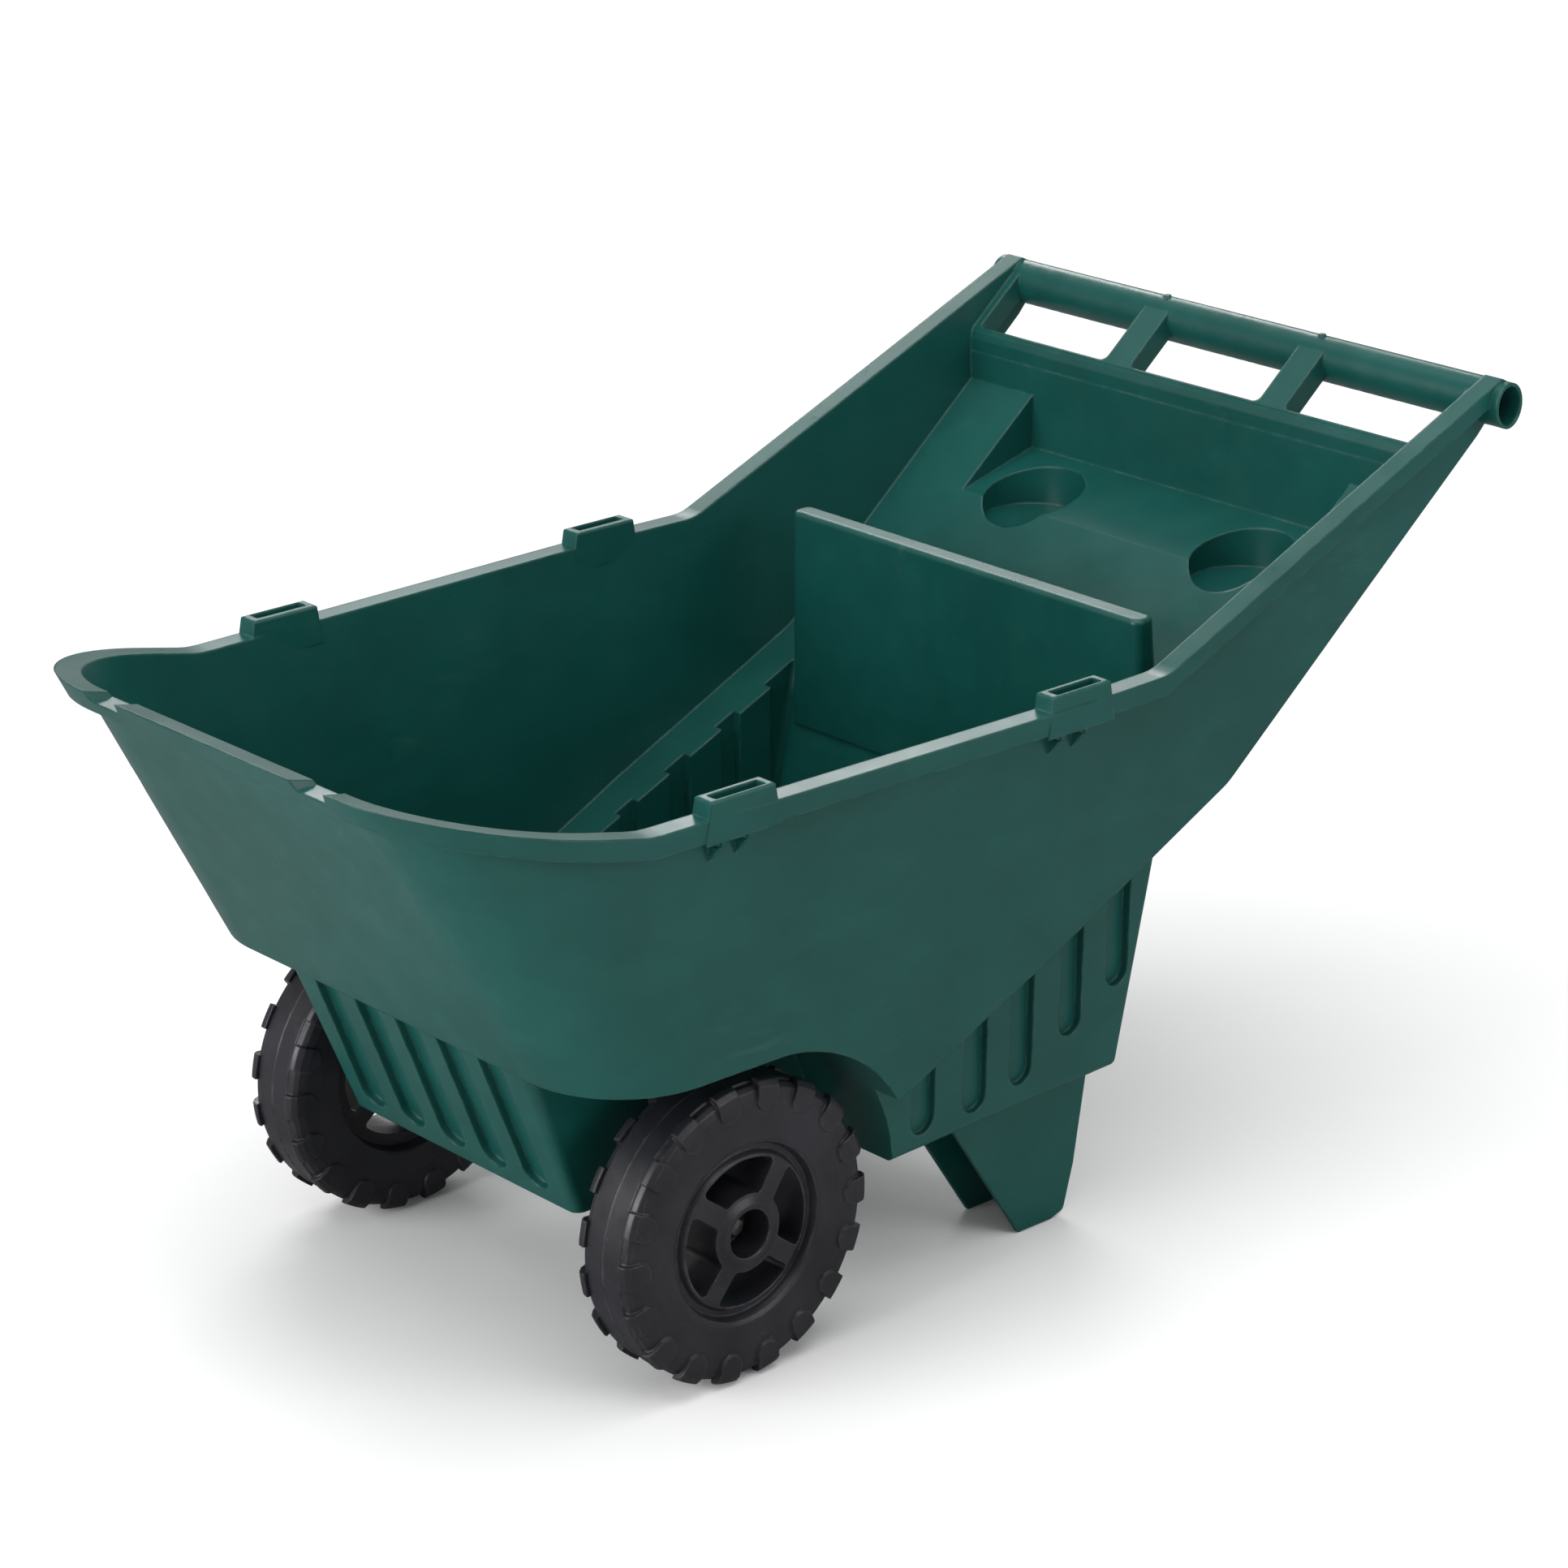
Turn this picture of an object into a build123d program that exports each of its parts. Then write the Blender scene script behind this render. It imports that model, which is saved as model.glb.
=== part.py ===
from build123d import *
import os
from math import cos, sin, radians, sqrt

# A two-wheeled push cart: a moulded tub with nested wells, two feet, a tray and a handle,
# carried by two wheels on a plain axle.
# X runs across (+X is the left of a user who pushes), the nose points to -Y, the handle
# lies towards +Y, and Z = 0 is the ground. Millimetres.

os.makedirs("parts", exist_ok=True)

# ---------------------------------------------------------------- driving dimensions
AXLE_Y = -248.87       # the origin is the middle of the footprint
WHEEL_R = 127.0        # over the tread lugs
AXLE_Z = WHEEL_R
WHEEL_W = 62.5         # tread width
WHEEL_X = 212.25       # middle of the tread from the centre plane
AXLE_R = 6.35
AXLE_HALF = 226        # half length of the axle
BORE_R = AXLE_R + 0.06 # with running clearance
WALL = 4.0             # moulded wall thickness
PAST_SIDE = 330        # half width that reaches past both sides of the tub
PAST_NOSE = -420       # Y beyond the nose

# tub
RIM_Z = 505.0          # top of the side rim
RIM_W = 15.0           # reach of the rim past the wall
LIP_H = 18.0           # height of the turned-down rim lip
NOSE_KNEE_Y = -135     # the rim climbs from here to the nose
NOSE_RISE = 0.228      # slope of that climb
FLOOR_KNEE_Y = 506.6   # the floor steepens behind this line
ARCH_R = 157.0         # wheel arch, concentric with the axle
ARCH_FRONT, ARCH_MID = 84, 58    # degrees up from the rearward horizontal

# wells; the leaning walls are placed at the datum height
WELL_Z = 137.0         # underside of both wells
DATUM_Z = 144
REAR_LEAN = 0.2176     # wide well rear wall: Y per unit of Z
REAR_SHIFT = 1.023     # its Y shift per unit of shrink
FRONT_LEAN = 0.3964    # narrow well front wall: Y per unit of Z
FRONT_SHIFT = 1.0757   # its Y shift per unit of shrink
FRONT_WALL_Y = -94.5   # front wall of the narrow well at the datum height

# tray, divider and cups
DIV_Z = 518.5          # top of the divider ridge
TRAY_REAR_Y = 737      # inside of the rear tray wall
TRAY_HALF = 190        # inner half width of the tray
CUP_X, CUP_Y, CUP_R = 126.3, 675.6, 46.0
CUP_Z = 484            # floor of the cup recesses

# feet and axle lugs
LEG_OUT, LEG_IN = 200.0, 136.0   # outer and inner faces of the feet
LUG_R = 16
LUG_W = 8
LUG_STARTS = (-139, -64, 56, 131)
BOSS_START, BOSS_L = 135, 12     # bosses on the outermost lugs

# handle
BAR_Y, BAR_Z = 808.0, 653.0
BAR_A, BAR_B = 17.0, 20.0        # half width and half height of the oval
BAR_WALL = 3
BAR_HALF = 301.0                 # half length of the bar
PANEL_TILT = 39.2                # degrees
STRUT_IN, STRUT_OUT = 77, 107    # sides of the two struts
FLANGE_W = 3                     # turned-down sides of the struts

# stations outwards along the axle, from the lug boss to the push nut
GAP = 0.1
WASHER_R = 13
INNER_WASHER_T, OUTER_WASHER_T = 2.2, 2.0
INNER_WASHER_X = BOSS_START + BOSS_L + GAP
HUB_IN = INNER_WASHER_X + INNER_WASHER_T + GAP
HUB_FLOOR = 214.0                # floor of the hub recess
OUTER_WASHER_X = HUB_FLOOR + GAP
NUT_X = OUTER_WASHER_X + OUTER_WASHER_T + GAP

# ---------------------------------------------------------------- tables
# (z, nose Y, half width at the nose, middle and rear, nose corner radius)
TUB_STATIONS = (
    (200.0, -117.7, 268.0, 267.5, 243.0, 80.0),
    (720.0, -406.9, 272.5, 296.5, 279.0, 140.0),
)

# front flutes: X of each centre; side flutes: (Y, Z of the bottom)
FRONT_FLUTES = (0, 52, 104)
FRONT_FLUTE_R = 15
SIDE_FLUTES = ((190, 151), (251, 151), (306, 158), (365, 184), (422, 212))
SIDE_FLUTE_R = 14
SIDE_FLUTE_L = 240
SIDE_WALL_Y = 150      # where the side wall plane has its origin

# stake pockets on the rim: (X, Y) of each centre on the +X side
STAKE_POCKETS = ((281.8, -48), (289.0, 301))
SLOT_SHIFT = 0.8       # the slot lies this far outside the pocket centre

# outer half of the wheel rim: (X from the tread middle, radius)
RIM_HALF = [
    (27, 74.5), (28.4, 78), (29.2, 96), (28.6, 112), (27, 118.5),
    (24, 122), (19.4, 122.8), (18.6, 124.2), (0.6, 124.4),
]

# push nut section: (X from its inner face, radius)
NUT_SECTION = (
    (0, AXLE_R + 0.02), (0, 10.5), (1.0, 10.8), (3.0, 8.6), (8.8, 8.0),
    (11.4, 6.4), (12.4, 0), (10.4, 0), (10.0, AXLE_R + 0.02),
)
LUG_COUNT = 18         # tread lugs on each shoulder
LUG_FROM = 20          # X from the tread middle where the lugs start


# ---------------------------------------------------------------- planes and helpers
# In the tub views and outlines, Y is measured from the axle.
def side_view(x=0.0):
    return Plane(origin=(x, AXLE_Y, 0), x_dir=(0, 1, 0), z_dir=(1, 0, 0))


def plan_view(z):
    return Plane(origin=(0, AXLE_Y, z), x_dir=(1, 0, 0), z_dir=(0, 0, 1))


def front_view(y):
    return Plane(origin=(0, AXLE_Y + y, 0), x_dir=(1, 0, 0), z_dir=(0, -1, 0))


def across_axle(x):
    """Plane square to the axle, centred on it."""
    return Plane(origin=(x, AXLE_Y, AXLE_Z), x_dir=(0, 1, 0), z_dir=(1, 0, 0))


def radial_section(sign, x):
    """Plane for (outward X, radius) sections of turned pieces."""
    return Plane(origin=(sign * x, AXLE_Y, AXLE_Z), x_dir=(sign, 0, 0), z_dir=(0, -sign, 0))


AXLE_LINE = Axis((0, AXLE_Y, AXLE_Z), (1, 0, 0))


def arc_point(radius, degrees):
    """Side view point on a circle about the axle."""
    return (radius * cos(radians(degrees)), AXLE_Z + radius * sin(radians(degrees)))


def both_sides(points):
    """Half an outline followed by its mirror image in the first coordinate."""
    return points + [(-x, y) for x, y in reversed(points)]


def cross_edges(builder, y, reach=2, above=0):
    """Edges along X within reach of a Y position and above a height."""
    return [
        edge for edge in builder.edges().filter_by(Axis.X)
        if abs(edge.center().Y - AXLE_Y - y) < reach and edge.center().Z > above
    ]


def cut(part, tool):
    with BuildPart() as result:
        add(part)
        add(tool, mode=Mode.SUBTRACT)
    return result.part


def save(part, name):
    part.label = name
    export_step(part, "parts/" + name + ".step")


# ---------------------------------------------------------------- shapes of the tub
def tub_block(grow):
    """Plan shape of the tub; wall, rim and lip are offsets of it by grow."""
    with BuildPart() as block:
        for z, nose_y, nose_x, mid_x, rear_x, corner in TUB_STATIONS:
            with BuildSketch(plan_view(z)) as section:
                with BuildLine():
                    Polyline(*both_sides([(-(rear_x + grow), 900), (-(mid_x + grow), 300),
                                          (-(nose_x + grow), nose_y - grow)]), close=True)
                make_face()
                fillet(section.vertices().group_by(Axis.Y)[0], corner + grow)
        loft(ruled=True)
    return block.part


def outer_profile():
    """Side view of the outside of the upper tub."""
    arch_rear = arc_point(ARCH_R, 31.5)
    arch_front = arc_point(ARCH_R, ARCH_FRONT)
    nose_top = RIM_Z + 1 + (NOSE_KNEE_Y - PAST_NOSE) * NOSE_RISE
    with BuildPart() as profile:
        with BuildSketch(side_view()):
            with BuildLine():
                Polyline(arch_rear, (140, 209), (FLOOR_KNEE_Y, 382), (799, 623.3), (817, 642),
                         (824, 655), (819, 669), (806, 675.5), (402, 507),
                         (NOSE_KNEE_Y, RIM_Z + 1), (PAST_NOSE, nose_top), (PAST_NOSE, 285),
                         arch_front)
                ThreePointArc(arch_front, arc_point(ARCH_R, ARCH_MID), arch_rear)
            make_face()
        extrude(amount=PAST_SIDE, both=True)
        fillet(cross_edges(profile, 402, above=480), 45)
        fillet(cross_edges(profile, NOSE_KNEE_Y), 90)
        fillet(cross_edges(profile, FLOOR_KNEE_Y), 60)
        fillet(cross_edges(profile, 140, reach=1), 9)
    return profile.part


def inner_profile():
    """Side view of the inside of the upper tub, open at the top."""
    radius = ARCH_R + WALL
    arch_rear = arc_point(radius, 31.8)
    arch_front = arc_point(radius, ARCH_FRONT)
    with BuildPart() as profile:
        with BuildSketch(side_view()):
            with BuildLine():
                Polyline(arch_rear, (FLOOR_KNEE_Y, 387), (TRAY_REAR_Y, 574.2),
                         (TRAY_REAR_Y, 900), (PAST_NOSE, 900), (PAST_NOSE, 285 + WALL),
                         arch_front)
                ThreePointArc(arch_front, arc_point(radius, ARCH_MID), arch_rear)
            make_face()
        extrude(amount=PAST_SIDE, both=True)
        fillet(cross_edges(profile, FLOOR_KNEE_Y), 60)
    return profile.part


def wide_well(shrink, top):
    """Deep well behind the wheels; its front follows the wheel arch."""
    radius = ARCH_R + shrink
    bottom = WELL_Z + shrink
    front_y = 60
    arch_foot = (sqrt(radius * radius - (bottom - AXLE_Z) ** 2), bottom)
    arch_top = (front_y, AXLE_Z + sqrt(radius * radius - front_y ** 2))
    rear_y = 430 + (bottom - DATUM_Z) * REAR_LEAN - shrink * REAR_SHIFT
    with BuildPart() as well:
        with BuildSketch(side_view()):
            with BuildLine():
                Polyline(arch_foot, (rear_y, bottom),
                         (rear_y + (top - bottom) * REAR_LEAN, top), (front_y, top), arch_top)
                ThreePointArc(arch_top, arc_point(radius, 40), arch_foot)
            make_face()
        extrude(amount=300, both=True)
        # side walls taper towards the rear and spread towards the top
        with BuildPart(mode=Mode.INTERSECT):
            for z, grow in ((bottom, -shrink), (top, 5 - shrink)):
                front_x = 244 + grow
                rear_x = 223.5 + grow
                with BuildSketch(plan_view(z)):
                    with BuildLine():
                        Polyline((-front_x, 52), (front_x, 52), (rear_x, 512), (-rear_x, 512),
                                 close=True)
                    make_face()
            loft(ruled=True)
        rear_corners = well.edges().filter_by(
            lambda edge: edge.center().Y - AXLE_Y > 410 and edge.length > 100
            and abs(edge.center().X) > 150)
        fillet(rear_corners, 8 - shrink)
        bottom_edges = well.faces().sort_by(Axis.Z)[0].edges().filter_by(
            lambda edge: edge.center().Y - AXLE_Y > 165)
        fillet(bottom_edges, 7 - shrink)
    return well.part


def narrow_well(shrink, top):
    """Well between the wheels."""
    with BuildPart() as well:
        for z in (WELL_Z + shrink, top):
            half = 143 + (z - DATUM_Z) / 140 * 9.0 - shrink
            front_y = FRONT_WALL_Y - (z - DATUM_Z) * FRONT_LEAN + shrink * FRONT_SHIFT
            with BuildSketch(plan_view(z)):
                with BuildLine():
                    Polyline((-half, front_y), (half, front_y), (half, 230), (-half, 230),
                             close=True)
                make_face()
        loft(ruled=True)
        front_corners = well.edges().filter_by(
            lambda edge: edge.center().Y - AXLE_Y < -80 and edge.center().Z > WELL_Z + 10
            and edge.length > 90 and abs(edge.center().X) > 100)
        fillet(front_corners, 9 - shrink)
    return well.part


def flutes(grow):
    """Recesses in the well walls of the +X half; grow makes the bulge on the inside."""
    front_wall = Plane(origin=(0, AXLE_Y + FRONT_WALL_Y, DATUM_Z), x_dir=(1, 0, 0),
                       z_dir=(0, -0.9297, -0.3685))
    side_wall = Plane(origin=(239.6, AXLE_Y + SIDE_WALL_Y, 0), x_dir=(-0.0446, 1, 0),
                      z_dir=(1, 0.0446, 0))
    # each flute is cut into the wall, then extended outwards clear of it
    with BuildPart() as recesses:
        for depth in (-(7 + grow), 12):
            with BuildSketch(front_wall):
                for x in FRONT_FLUTES:
                    with Locations((x, 92)):
                        Rectangle(2 * (FRONT_FLUTE_R + grow), 150)
                    with Locations((x, 20)):
                        Circle(FRONT_FLUTE_R + grow)
            extrude(amount=depth)
        for y, bottom in SIDE_FLUTES:
            along = y - SIDE_WALL_Y
            round_z = bottom + SIDE_FLUTE_R
            for depth in (-(5.5 + grow), 16):
                with BuildSketch(side_wall):
                    with Locations((along, round_z + SIDE_FLUTE_L / 2)):
                        Rectangle(2 * (SIDE_FLUTE_R + grow), SIDE_FLUTE_L)
                    with Locations((along, round_z)):
                        Circle(SIDE_FLUTE_R + grow)
                extrude(amount=depth)
    return recesses.part


def ridge(shrink, bottom):
    """Divider ridge across the tub; only the outer one has a rounded top."""
    with BuildPart() as divider:
        for z in (bottom, DIV_Z - shrink):
            spread = (DIV_Z - z) / 198.5
            front_y = 456 + 5 * spread + shrink
            rear_y = 478 + 16 * spread - shrink
            half = 210 + 5 * spread - shrink
            with BuildSketch(plan_view(z)):
                with Locations((0, (front_y + rear_y) / 2)):
                    RectangleRounded(2 * half, rear_y - front_y, 8 - shrink)
        loft(ruled=True)
        if shrink == 0:
            fillet(divider.faces().sort_by(Axis.Z)[-1].edges(), 4)
    return divider.part


def hollow(block_in, inner, flutes_inner):
    """All the space inside the tub, as one solid."""
    with BuildPart() as space:
        add(block_in)
        add(inner, mode=Mode.INTERSECT)
        add(wide_well(WALL, 410))
        add(narrow_well(WALL, 330))
        # tray behind the divider
        with BuildSketch(side_view()):
            with BuildLine():
                Polyline((640, 499.8), (TRAY_REAR_Y, 525), (TRAY_REAR_Y, 760), (600, 760),
                         (600, 470), close=True)
            make_face()
        extrude(amount=TRAY_HALF, both=True)
        # drink cup recesses
        with BuildSketch(plan_view(CUP_Z)):
            with Locations((CUP_X, CUP_Y), (-CUP_X, CUP_Y)):
                Circle(CUP_R)
        extrude(amount=140)
        add(ridge(0, 318), mode=Mode.SUBTRACT)
        add(flutes_inner, mode=Mode.SUBTRACT)
    return space.part


def rim(outer):
    """Rim flange and turned-down lip; they follow the wall outline and the top line."""
    with BuildPart() as flange:
        add(tub_block(RIM_W))
        with BuildPart(mode=Mode.INTERSECT):
            add(outer)
            add(Pos(0, 0, -LIP_H) * outer, mode=Mode.SUBTRACT)
            with BuildSketch(side_view()):
                with BuildLine():
                    Polyline((PAST_NOSE, 540), (NOSE_KNEE_Y, 475), (402, 475), (778, 630),
                             (860, 630), (860, 760), (PAST_NOSE, 760), close=True)
                make_face()
            extrude(amount=PAST_SIDE, both=True, mode=Mode.INTERSECT)
        with BuildPart(mode=Mode.SUBTRACT):
            add(tub_block(RIM_W - WALL))
            add(Pos(0, 0, -WALL) * outer, mode=Mode.INTERSECT)
    return flange.part


def feet():
    """Two foot channels, open to the front."""
    with BuildPart() as channels:
        for sign in (1, -1):
            with BuildSketch(side_view(sign * LEG_IN)):
                with BuildLine():
                    Polyline((243, 147), (341.5, 0), (380, 0), (395, 4), (406, 44), (423, 147),
                             close=True)
                make_face()
            extrude(amount=sign * (LEG_OUT - LEG_IN))
        heel_edges = channels.edges().filter_by(Axis.X).filter_by(
            lambda edge: edge.center().Z < 8 and edge.center().Y > AXLE_Y + 370)
        fillet(heel_edges, 6)
        for sign in (1, -1):
            with BuildSketch(side_view(sign * (LEG_IN + WALL))):
                with BuildLine():
                    Polyline((150, 160), (150, -10), (388, -10), (390, 4), (401.5, 44),
                             (420, 160), close=True)
                make_face()
            extrude(amount=sign * (LEG_OUT - LEG_IN - 2 * WALL), mode=Mode.SUBTRACT)
    return channels.part


def axle_lugs():
    """Lugs under the narrow well that carry the axle, with a boss on each outermost one."""
    with BuildPart() as lugs:
        for x in LUG_STARTS:
            with BuildSketch(side_view(x)):
                with BuildLine():
                    Polyline((-26, 147), (26, 147), (LUG_R, AXLE_Z), (-LUG_R, AXLE_Z),
                             close=True)
                make_face()
                with Locations((0, AXLE_Z)):
                    Circle(LUG_R)
            extrude(amount=LUG_W)
        for sign in (-1, 1):
            with BuildSketch(side_view(sign * BOSS_START)):
                with Locations((0, AXLE_Z)):
                    Circle(11)
            extrude(amount=sign * BOSS_L)
    return lugs.part


def tub_body():
    """Hollowed tub with wells, tray, rim, feet and lugs."""
    outer = outer_profile()
    inner = inner_profile()
    block_in = tub_block(-WALL)
    # flutes stop at the tub floor
    flutes_outer = cut(flutes(0), outer)
    flutes_inner = cut(flutes(WALL), inner)
    wide_shape = cut(wide_well(0, 388), flutes_outer)
    narrow_shape = cut(narrow_well(0, 300), flutes_outer)
    with BuildPart() as body:
        add(tub_block(0))
        add(outer, mode=Mode.INTERSECT)
        add(wide_shape)
        add(narrow_shape)
        # outside of the tray and of the cup recesses
        with BuildSketch(side_view()):
            with BuildLine():
                Polyline((615, 468), (640, 494.5), (742, 520.5), (742, 600), (600, 500),
                         close=True)
            make_face()
        extrude(amount=TRAY_HALF + WALL, both=True)
        with BuildSketch(plan_view(CUP_Z - WALL)):
            with Locations((CUP_X, CUP_Y), (-CUP_X, CUP_Y)):
                Circle(CUP_R + WALL)
        extrude(amount=45)
        add(rim(outer))
        add(feet())
        add(axle_lugs())
        add(hollow(block_in, inner, flutes_inner), mode=Mode.SUBTRACT)
        # open space between the arms behind the tray
        with BuildPart(mode=Mode.SUBTRACT):
            add(block_in)
            with BuildSketch(side_view()):
                with BuildLine():
                    Polyline((742, 300), (900, 300), (900, 800), (735, 800), (735, 600),
                             (742, 600), close=True)
                make_face()
            extrude(amount=PAST_SIDE, both=True, mode=Mode.INTERSECT)
        add(ridge(WALL, 338), mode=Mode.SUBTRACT)
    return body.part


# ---------------------------------------------------------------- rim details
def stake_pockets():
    with BuildPart() as pockets:
        for x, y in STAKE_POCKETS:
            for sign in (1, -1):
                with BuildPart():
                    with BuildSketch(plan_view(486)):
                        with Locations((sign * x, y)):
                            Rectangle(20, 74)
                    with BuildSketch(plan_view(520)):
                        with Locations((sign * (x - 0.5), y)):
                            Rectangle(19, 63)
                    loft(ruled=True)
                # webs under the lip
                for offset_y in (-20, 6):
                    with BuildSketch(front_view(y + offset_y)):
                        with BuildLine():
                            Polyline((sign * (x - 8), 488), (sign * (x + 10), 488),
                                     (sign * (x + 9), 484), (sign * (x - 7), 466),
                                     (sign * (x - 8), 466), close=True)
                        make_face()
                    extrude(amount=1.6, both=True)
        top_faces = pockets.faces().filter_by(Axis.Z).group_by(Axis.Z)[-1]
        fillet(top_faces.edges(), 2)
    return pockets.part


def pocket_slots():
    with BuildPart() as slots:
        with BuildSketch(plan_view(480)):
            for x, y in STAKE_POCKETS:
                for sign in (1, -1):
                    with Locations((sign * (x + SLOT_SHIFT), y)):
                        RectangleRounded(11, 50, 1.5)
        extrude(amount=60)
    return slots.part


def notch_fill():
    """Material around the two rim notches at the nose."""
    with BuildPart() as fill:
        for sign in (1, -1):
            with BuildSketch(side_view(sign * 131)):
                with BuildLine():
                    Polyline((-316, 534), (-302, 534), (-307, 545), (-322, 545), close=True)
                make_face()
            extrude(amount=27, both=True)
    return fill.part


def notch_cut():
    with BuildPart() as notches:
        for sign in (1, -1):
            with BuildSketch(front_view(-278)):
                with BuildLine():
                    Polyline((sign * 106, 562), (sign * 112, 541), (sign * 147, 541),
                             (sign * 158, 562), close=True)
                make_face()
            extrude(amount=60)
    return notches.part


# ---------------------------------------------------------------- handle
def handle():
    """Tray wall lip, sloping panel with struts, and the bar, still solid."""
    tilt = radians(PANEL_TILT)
    panel_plane = Plane(origin=(0, AXLE_Y + 741, 621), x_dir=(1, 0, 0),
                        z_dir=(0, -sin(tilt), cos(tilt)))
    strut_mid = (STRUT_IN + STRUT_OUT) / 2
    flange_in = STRUT_IN + FLANGE_W / 2
    flange_out = STRUT_OUT - FLANGE_W / 2
    with BuildPart() as grip:
        # upper lip of the tray wall
        with BuildSketch(side_view()):
            with BuildLine():
                Polyline((737.5, 596), (737.5, 612), (739.2, 618.2), (742.5, 622.2),
                         (745.1, 619.2), (742.7, 615.5), (741.5, 610), (741.5, 596), close=True)
            make_face()
        extrude(amount=274, both=True)
        # panel with three windows
        with BuildSketch(panel_plane):
            with Locations((0, 36)):
                Rectangle(2 * 274.4, 72)
            with Locations((0, 41.2)):
                RectangleRounded(2 * STRUT_IN, 78, 7, mode=Mode.SUBTRACT)
            with Locations((-186.5, 41.2), (186.5, 41.2)):
                RectangleRounded(159, 78, 7, mode=Mode.SUBTRACT)
        extrude(amount=-WALL)
        # turned-down sides of the two struts and of the end strips
        with BuildSketch(panel_plane):
            for x, width in ((flange_out, FLANGE_W), (flange_in, FLANGE_W), (269.7, 8.4)):
                with Locations((-x, 34), (x, 34)):
                    Rectangle(width, 66)
        extrude(amount=-20)
        with BuildSketch(side_view(-BAR_HALF)):
            with Locations((BAR_Y, BAR_Z)):
                Ellipse(BAR_A, BAR_B)
        extrude(amount=2 * BAR_HALF)
        # small bumps on the bar above the struts
        for x in (-strut_mid, strut_mid):
            with Locations(Pos(x, AXLE_Y + BAR_Y - 1, BAR_Z + 19.4)):
                Cylinder(3.5, 4)
    return grip.part


def complete_tub():
    with BuildPart() as tub:
        add(tub_body())
        add(stake_pockets())
        add(pocket_slots(), mode=Mode.SUBTRACT)
        add(notch_fill())
        add(notch_cut(), mode=Mode.SUBTRACT)
        add(handle())
        # bore of the bar, open at both ends
        with BuildSketch(side_view(-320)):
            with Locations((BAR_Y, BAR_Z)):
                Ellipse(BAR_A - BAR_WALL, BAR_B - BAR_WALL)
        extrude(amount=640, mode=Mode.SUBTRACT)
        # axle bore
        with BuildSketch(side_view(-160)):
            with Locations((0, AXLE_Z)):
                Circle(BORE_R)
        extrude(amount=320, mode=Mode.SUBTRACT)
        # keep the +X half, which has the flutes, and mirror it
        split(bisect_by=Plane.YZ)
        mirror(about=Plane.YZ)
    return tub.part


# ---------------------------------------------------------------- axle and wheels
def axle():
    with BuildPart() as rod:
        with BuildSketch(across_axle(-AXLE_HALF)):
            Circle(AXLE_R)
        extrude(amount=2 * AXLE_HALF)
        chamfer(rod.edges().filter_by(GeomType.CIRCLE), 1)
    return rod.part


def washer(sign, x, thickness):
    with BuildPart() as ring:
        with BuildSketch(across_axle(sign * x)):
            Circle(WASHER_R)
            Circle(BORE_R, mode=Mode.SUBTRACT)
        extrude(amount=sign * thickness)
        chamfer(ring.edges().filter_by(GeomType.CIRCLE).group_by(SortBy.RADIUS)[-1], 0.3)
    return ring.part


def push_nut(sign):
    """Dished ring with a domed cap over the end of the axle."""
    with BuildPart() as nut:
        with BuildSketch(radial_section(sign, NUT_X)):
            with BuildLine():
                Polyline(*NUT_SECTION, close=True)
            make_face()
        revolve(axis=AXLE_LINE, revolution_arc=360)
    return nut.part


def tread_lugs(sign):
    """Lugs that wrap over both shoulders, staggered by half a pitch."""
    half = WHEEL_W / 2
    with BuildPart() as lugs:
        for shoulder, turn in ((1, 0), (-1, 180 / LUG_COUNT)):
            with BuildSketch(across_axle(sign * WHEEL_X + shoulder * LUG_FROM)):
                with PolarLocations(0, LUG_COUNT, start_angle=turn):
                    with Locations((120, 0)):
                        Rectangle(20, 21)
                    with Locations((112, 0)):
                        Circle(10.5)
            extrude(amount=shoulder * (half - LUG_FROM))
        with BuildPart(mode=Mode.INTERSECT):
            with BuildSketch(radial_section(sign, WHEEL_X)):
                with BuildLine():
                    Polyline(*both_sides([(half - 0.6, 96), (half, 114), (half - 1.2, 121.5),
                                          (half - 4.2, 125.8), (half - 8, WHEEL_R)]),
                             close=True)
                make_face()
            revolve(axis=AXLE_LINE, revolution_arc=360)
    return lugs.part


def wheel(sign):
    recess_x = HUB_FLOOR - WHEEL_X
    hub_x = HUB_IN - WHEEL_X
    rim_outline = both_sides(RIM_HALF + [(0, 124.9)])
    rim_outline.remove((0, 124.9))    # the crown point is its own mirror image
    with BuildPart() as body:
        with BuildSketch(radial_section(sign, WHEEL_X)):
            with BuildLine():
                Polyline((recess_x, BORE_R), (recess_x, 19.6), (30.4, 20.2), (31, 21),
                         (31, 24.5), (28.4, 31), (26.6, 60), (25, 64), (20.4, 67), (20, 71.5),
                         *rim_outline, (-17.4, 71.5), (-18, 29), (-20, 24), (hub_x, 19),
                         (hub_x, BORE_R), close=True)
            make_face()
        revolve(axis=AXLE_LINE, revolution_arc=360)
        # four windows between the spokes
        with BuildSketch(across_axle(sign * (WHEEL_X - 40))) as windows:
            Circle(62)
            Circle(33, mode=Mode.SUBTRACT)
            Rectangle(17, 140, rotation=45 + 8 * sign, mode=Mode.SUBTRACT)
            Rectangle(17, 140, rotation=-45 + 8 * sign, mode=Mode.SUBTRACT)
            fillet(windows.vertices(), 4)
        extrude(amount=sign * 80, mode=Mode.SUBTRACT)
        add(tread_lugs(sign))
    return body.part


# ---------------------------------------------------------------- pieces
save(complete_tub(), "tub_body")
save(axle(), "axle")
for side, sign in (("left", 1), ("right", -1)):
    save(washer(sign, INNER_WASHER_X, INNER_WASHER_T), "washer_inner_" + side)
    save(washer(sign, OUTER_WASHER_X, OUTER_WASHER_T), "washer_outer_" + side)
    save(push_nut(sign), "push_nut_" + side)
    save(wheel(sign), "wheel_" + side)
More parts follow.
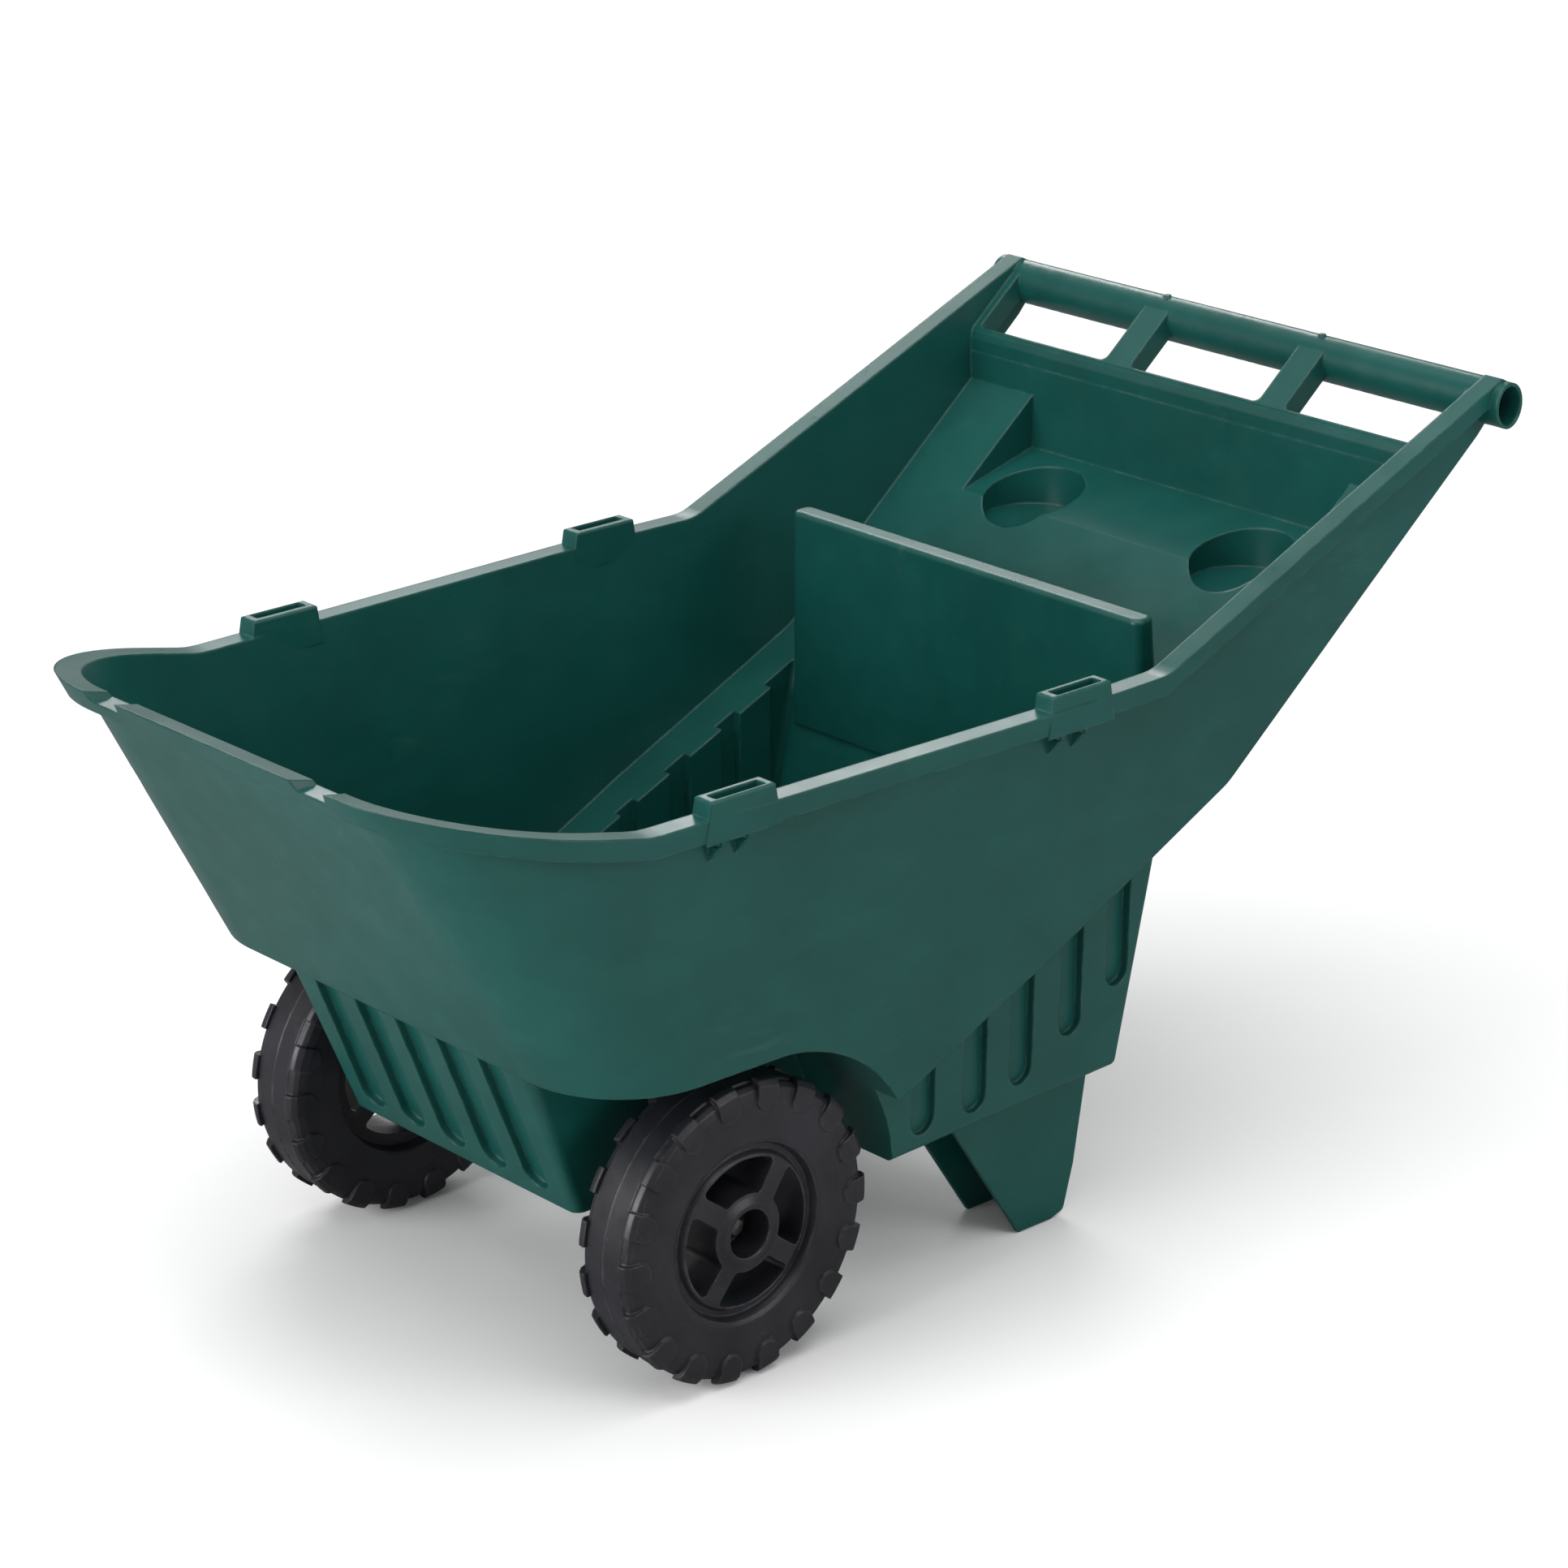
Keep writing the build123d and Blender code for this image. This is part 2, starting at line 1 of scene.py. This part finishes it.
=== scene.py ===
"""Looks and studio for a green plastic tub cart on two or more black wheels.

Metres, Z up. The floor lies just below z = 0 and the camera looks down from the +X, -Y side.
"""
import bpy
import math
from mathutils import Matrix, Vector


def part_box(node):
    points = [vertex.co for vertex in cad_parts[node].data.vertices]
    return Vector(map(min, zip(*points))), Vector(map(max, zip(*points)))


FLOOR_HALF_SIZE = 14.0
FLOOR_Z = -0.001
WHITE = (1.0, 1.0, 1.0, 1.0)

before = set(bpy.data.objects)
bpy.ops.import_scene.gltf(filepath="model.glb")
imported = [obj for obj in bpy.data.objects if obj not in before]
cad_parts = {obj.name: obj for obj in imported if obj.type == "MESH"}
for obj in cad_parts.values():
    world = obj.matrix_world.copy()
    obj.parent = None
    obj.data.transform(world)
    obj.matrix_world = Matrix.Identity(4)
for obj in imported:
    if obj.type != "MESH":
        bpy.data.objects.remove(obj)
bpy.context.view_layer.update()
scene = bpy.context.scene


# ---------------------------------------------------------------- node helpers
def set_inputs(tree, node, inputs):
    """Set each input, by name or index, to a value or link it to a socket."""
    for key, value in inputs.items():
        if isinstance(value, bpy.types.NodeSocket):
            tree.links.new(value, node.inputs[key])
        else:
            node.inputs[key].default_value = value


def add_node(tree, kind, inputs=None, **settings):
    node = tree.nodes.new(kind)
    for key, value in settings.items():
        setattr(node, key, value)
    set_inputs(tree, node, inputs or {})
    return node


def srgb(*channels):
    """Linear colour from 0-255 sRGB channels."""
    return tuple(((c / 255 + 0.055) / 1.055) ** 2.4 if c > 10 else c / 255 / 12.92
                 for c in channels)


class Material:
    """A principled material; the methods add nodes and return their output sockets."""

    def __init__(self, name):
        self.data = bpy.data.materials.new(name)
        self.data.use_nodes = True
        self.tree = self.data.node_tree
        self.tree.nodes.clear()
        self.output = self.node("ShaderNodeOutputMaterial")
        self.surface = self.node("ShaderNodeBsdfPrincipled")
        self.set_output(self.surface.outputs[0])
        self.position = self.node("ShaderNodeTexCoord").outputs["Object"]

    def node(self, kind, inputs=None, **settings):
        return add_node(self.tree, kind, inputs, **settings)

    def set_surface(self, inputs):
        set_inputs(self.tree, self.surface, inputs)

    def set_output(self, shader):
        set_inputs(self.tree, self.output, {0: shader})

    def light_path(self, ray):
        return self.node("ShaderNodeLightPath").outputs[ray]

    def noise(self, scale, detail=4.0, roughness=0.6, stretch=None, distortion=0.0):
        """Object-space noise; a stretch below 1 lengthens the pattern along that axis."""
        vector = self.position
        if stretch:
            vector = self.node("ShaderNodeMapping", {0: vector, "Scale": stretch}).outputs[0]
        return self.node("ShaderNodeTexNoise", {
            "Vector": vector, "Scale": scale, "Detail": detail,
            "Roughness": roughness, "Distortion": distortion}).outputs["Fac"]

    def remap(self, value, start, end, low=0.0, high=1.0):
        """Map start..end to low..high, clamped."""
        return self.node("ShaderNodeMapRange", {
            "Value": value, "From Min": start, "From Max": end,
            "To Min": low, "To Max": high}).outputs["Result"]

    def multiply(self, first, second):
        return self.node("ShaderNodeMath", {0: first, 1: second},
                         operation="MULTIPLY").outputs[0]

    def mix(self, factor, first, second):
        """Blend colours: factor 0 gives the first, 1 the second."""
        first, second = ((*colour, 1.0) if isinstance(colour, tuple) else colour
                         for colour in (first, second))
        # Inputs 6 and 7 are the colour pair of the mix node.
        return self.node("ShaderNodeMix", {0: factor, 6: first, 7: second},
                         data_type="RGBA").outputs[2]

    def tint(self, colour, mask, amount, tint):
        return self.mix(self.multiply(mask, amount), colour, tint)

    def bump(self, height, strength, distance, normal):
        return self.node("ShaderNodeBump", {
            "Height": height, "Strength": strength, "Distance": distance,
            "Normal": normal}).outputs[0]

    def rounded_normal(self, radius):
        return self.node("ShaderNodeBevel", {"Radius": radius}, samples=4).outputs[0]

    def edge_highlight_and_wear_mask(self, rounded, scale, start, end):
        """Broken-up mask along the edges, where the rounded normal leaves the true one:
        partly painted edge highlight, partly edge wear.
        """
        true_normal = self.node("ShaderNodeNewGeometry").outputs["Normal"]
        alignment = self.node("ShaderNodeVectorMath", {0: rounded, 1: true_normal},
                              operation="DOT_PRODUCT").outputs["Value"]
        edge = self.remap(alignment, start=0.995, end=0.90)
        breakup = self.remap(self.noise(scale=scale, detail=3.0), start=start, end=end)
        return self.multiply(edge, breakup)


# ---------------------------------------------------------------- product materials
def green_plastic():
    """Glossy moulded plastic with mottling, scuffs and pale edges, which are partly painted
    edge highlight and partly edge wear.
    """
    mat = Material("green_plastic")
    base, deep = srgb(17, 76, 71), srgb(13, 68, 63)
    mottle, pale_scuff_and_highlight = srgb(28, 92, 84), srgb(96, 132, 124)
    rounded = mat.rounded_normal(radius=0.0028)

    cloud = mat.remap(mat.noise(scale=5.0, detail=5.0), start=0.35, end=0.68)
    colour = mat.mix(cloud, deep, base)
    # Fine flow mottling, drawn out along Y.
    flow = mat.noise(scale=38.0, detail=3.0, roughness=0.5, stretch=(1.0, 0.35, 1.0))
    colour = mat.mix(mat.remap(flow, start=0.45, end=0.75, high=0.18), colour, mottle)
    # Scuffs: thin streaks that show only inside patches.
    patch = mat.remap(mat.noise(scale=6.5, detail=2.0, roughness=0.5), start=0.56, end=0.72)
    streak = mat.noise(scale=70.0, detail=3.0, stretch=(1.0, 0.22, 0.9), distortion=0.8)
    scuff = mat.multiply(patch, mat.remap(streak, start=0.55, end=0.8))
    # Pale edges: partly painted edge highlight, partly edge wear. The same pale colour also
    # tints the real scuffs.
    highlight_and_wear = mat.edge_highlight_and_wear_mask(rounded, scale=60.0, start=0.42, end=0.68)
    colour = mat.tint(colour, mask=scuff, amount=0.14, tint=pale_scuff_and_highlight)
    colour = mat.tint(colour, mask=highlight_and_wear, amount=0.35, tint=pale_scuff_and_highlight)

    roughness = mat.remap(mat.noise(scale=22.0), start=0.3, end=0.7, low=0.27, high=0.36)
    # Broad warp, then fine grain.
    warp = mat.noise(scale=9.0, detail=2.0, roughness=0.4)
    grain = mat.noise(scale=900.0, detail=2.0, roughness=0.5)
    normal = mat.bump(warp, strength=0.2, distance=0.003, normal=rounded)
    normal = mat.bump(grain, strength=0.12, distance=0.0003, normal=normal)
    mat.set_surface({"Base Color": colour, "Roughness": roughness,
                     "Specular IOR Level": 0.42, "Normal": normal})
    return mat.data


def black_plastic():
    """Near-black wheel plastic with grey specks and pale edges, which are partly painted edge
    highlight and partly edge wear.
    """
    mat = Material("black_plastic")
    dark, light = srgb(27, 27, 31), srgb(40, 40, 46)
    speck_grey, highlight_and_wear_grey = srgb(112, 112, 116), srgb(120, 120, 124)
    rounded = mat.rounded_normal(radius=0.0022)

    colour = mat.mix(mat.remap(mat.noise(scale=14.0), start=0.35, end=0.7), dark, light)
    speck = mat.remap(mat.noise(scale=420.0, detail=2.0, roughness=0.5), start=0.70, end=0.80)
    colour = mat.tint(colour, mask=speck, amount=0.35, tint=speck_grey)
    # Pale grey edges: partly painted edge highlight, partly edge wear.
    highlight_and_wear = mat.edge_highlight_and_wear_mask(rounded, scale=90.0, start=0.4, end=0.65)
    colour = mat.tint(colour, mask=highlight_and_wear, amount=0.3, tint=highlight_and_wear_grey)

    roughness = mat.remap(mat.noise(scale=40.0), start=0.3, end=0.7, low=0.26, high=0.40)
    # Shallow waves, then fine grain.
    waves = mat.noise(scale=26.0, detail=3.0, roughness=0.5)
    grain = mat.noise(scale=1000.0, detail=2.0, roughness=0.5)
    normal = mat.bump(waves, strength=0.2, distance=0.0015, normal=rounded)
    normal = mat.bump(grain, strength=0.15, distance=0.0003, normal=normal)
    mat.set_surface({"Base Color": colour, "Roughness": roughness, "Normal": normal})
    return mat.data


def steel(name, colour, smoothest, roughest, stretch=(1.0, 1.0, 1.0)):
    """Bare metal whose fine noise drives both roughness and bump."""
    mat = Material(name)
    darker = tuple(channel * 0.75 for channel in colour)
    cloud = mat.remap(mat.noise(scale=30.0), start=0.35, end=0.7)
    lines = mat.noise(scale=240.0, detail=3.0, stretch=stretch)
    rounded = mat.rounded_normal(radius=0.0004)
    mat.set_surface({
        "Base Color": mat.mix(cloud, darker, colour),
        "Metallic": 1.0,
        "Roughness": mat.remap(lines, start=0.3, end=0.7, low=smoothest, high=roughest),
        "Normal": mat.bump(lines, strength=0.2, distance=0.0004, normal=rounded)})
    return mat.data


GREEN = green_plastic()
BLACK = black_plastic()
ROD = steel("steel_rod", colour=(0.52, 0.52, 0.53), smoothest=0.22, roughest=0.36,
            stretch=(8.0, 1.0, 1.0))
ZINC = steel("zinc_washer", colour=(0.60, 0.60, 0.62), smoothest=0.30, roughest=0.48)
NUT = steel("push_nut", colour=(0.20, 0.20, 0.21), smoothest=0.32, roughest=0.5)


def material_for(name):
    if name == "tub_body":
        return GREEN
    if name.startswith("wheel"):
        return BLACK
    if name == "axle":
        return ROD
    if name.startswith("push_nut"):
        return NUT
    return ZINC


for name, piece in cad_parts.items():
    piece.data.materials.clear()
    piece.data.materials.append(material_for(name))


# ---------------------------------------------------------------- floor and world
def floor_paper():
    """Off-white paper that fades into the white backdrop away from the cart."""
    mat = Material("floor_paper")
    colour = mat.mix(mat.noise(scale=3.0, detail=3.0, roughness=0.55),
                     (0.90, 0.90, 0.90), (0.94, 0.94, 0.94))
    # Reflections see a darker floor than the camera does.
    colour = mat.mix(mat.light_path("Is Glossy Ray"), colour, (0.20, 0.20, 0.20))
    mat.set_surface({"Base Color": colour, "Roughness": 0.9})

    distance = mat.node("ShaderNodeVectorMath", {0: mat.position},
                        operation="LENGTH").outputs["Value"]
    fade = mat.multiply(mat.remap(distance, start=0.9, end=2.2),
                        mat.light_path("Is Camera Ray"))
    glow = mat.node("ShaderNodeEmission", {"Color": WHITE, "Strength": 1.05})
    blend = mat.node("ShaderNodeMixShader",
                     {0: fade, 1: mat.surface.outputs[0], 2: glow.outputs[0]})
    mat.set_output(blend.outputs[0])
    return mat.data


def add_floor():
    mesh = bpy.data.meshes.new("floor")
    corners = [(x * FLOOR_HALF_SIZE, y * FLOOR_HALF_SIZE, 0)
               for x, y in ((-1, -1), (1, -1), (1, 1), (-1, 1))]
    mesh.from_pydata(corners, [], [(0, 1, 2, 3)])
    floor = bpy.data.objects.new("floor", mesh)
    floor.location = (0, 0, FLOOR_Z)
    scene.collection.objects.link(floor)
    mesh.materials.append(floor_paper())


def add_world(camera_level, glossy_level, diffuse_level):
    """White world with its own brightness for each kind of ray."""
    world = bpy.data.worlds.new("studio")
    scene.world = world
    world.use_nodes = True
    tree = world.node_tree
    rays = add_node(tree, "ShaderNodeLightPath").outputs
    level = diffuse_level
    for ray, ray_level in (("Is Glossy Ray", glossy_level), ("Is Camera Ray", camera_level)):
        # Inputs 2 and 3 are the number pair of the mix node.
        level = add_node(tree, "ShaderNodeMix", {0: rays[ray], 2: level, 3: ray_level},
                         data_type="FLOAT").outputs[0]
    set_inputs(tree, tree.nodes["Background"], {"Color": WHITE, "Strength": level})


add_floor()
add_world(camera_level=1.15, glossy_level=0.26, diffuse_level=0.50)


# ---------------------------------------------------------------- lights
def area_light(name, location, target, size, power):
    light = bpy.data.lights.new(name, "AREA")
    light.energy = power
    light.shape = "RECTANGLE"
    light.size, light.size_y = size
    lamp = bpy.data.objects.new(name, light)
    lamp.location = location
    aim = Vector(target) - Vector(location)
    lamp.rotation_euler = aim.to_track_quat("-Z", "Y").to_euler()
    scene.collection.objects.link(lamp)


# Name, location, target, (width, height), power in watts
LIGHTS = (
    ("top_soft", (0.4, -0.4, 3.2), (0, 0.1, 0.3), (3.2, 3.2), 74),
    ("front_left", (-0.5, -3.3, 1.35), (0, 0, 0.3), (2.4, 1.9), 88),
    ("side_fill", (3.4, 1.2, 1.5), (0, 0.1, 0.3), (2.0, 1.4), 34),
    ("back_strip", (-2.6, 1.8, 2.2), (0, 0.2, 0.5), (2.4, 0.6), 40),
)
for entry in LIGHTS:
    area_light(*entry)


# ---------------------------------------------------------------- camera
def add_camera(location, azimuth, elevation, roll, lens):
    """Angles in degrees; the azimuth turns the camera from -Y towards +X."""
    data = bpy.data.cameras.new("camera")
    data.sensor_width = 36.0
    data.sensor_fit = "HORIZONTAL"
    data.lens = lens
    data.clip_end = 50.0
    camera = bpy.data.objects.new("camera", data)
    azimuth, elevation, roll = map(math.radians, (azimuth, elevation, roll))
    back = Vector((math.sin(azimuth) * math.cos(elevation),
                   -math.cos(azimuth) * math.cos(elevation),
                   math.sin(elevation)))
    right = (-back).cross(Vector((0, 0, 1))).normalized()
    up = right.cross(-back)
    rolled_right = right * math.cos(roll) + up * math.sin(roll)
    rolled_up = -right * math.sin(roll) + up * math.cos(roll)
    rotation = Matrix((rolled_right, rolled_up, back)).transposed().to_4x4()
    camera.matrix_world = Matrix.Translation(location) @ rotation
    scene.collection.objects.link(camera)
    scene.camera = camera


axle_low, axle_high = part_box("axle")
axle_y = (axle_low[1] + axle_high[1]) / 2
add_camera(location=(2.62794, axle_y - 2.13680, 1.70084),
           azimuth=47.6714, elevation=20.5389, roll=0.0148, lens=104.6918)

scene.view_settings.view_transform = "Standard"
scene.view_settings.look = "None"
scene.view_settings.exposure = 0.0
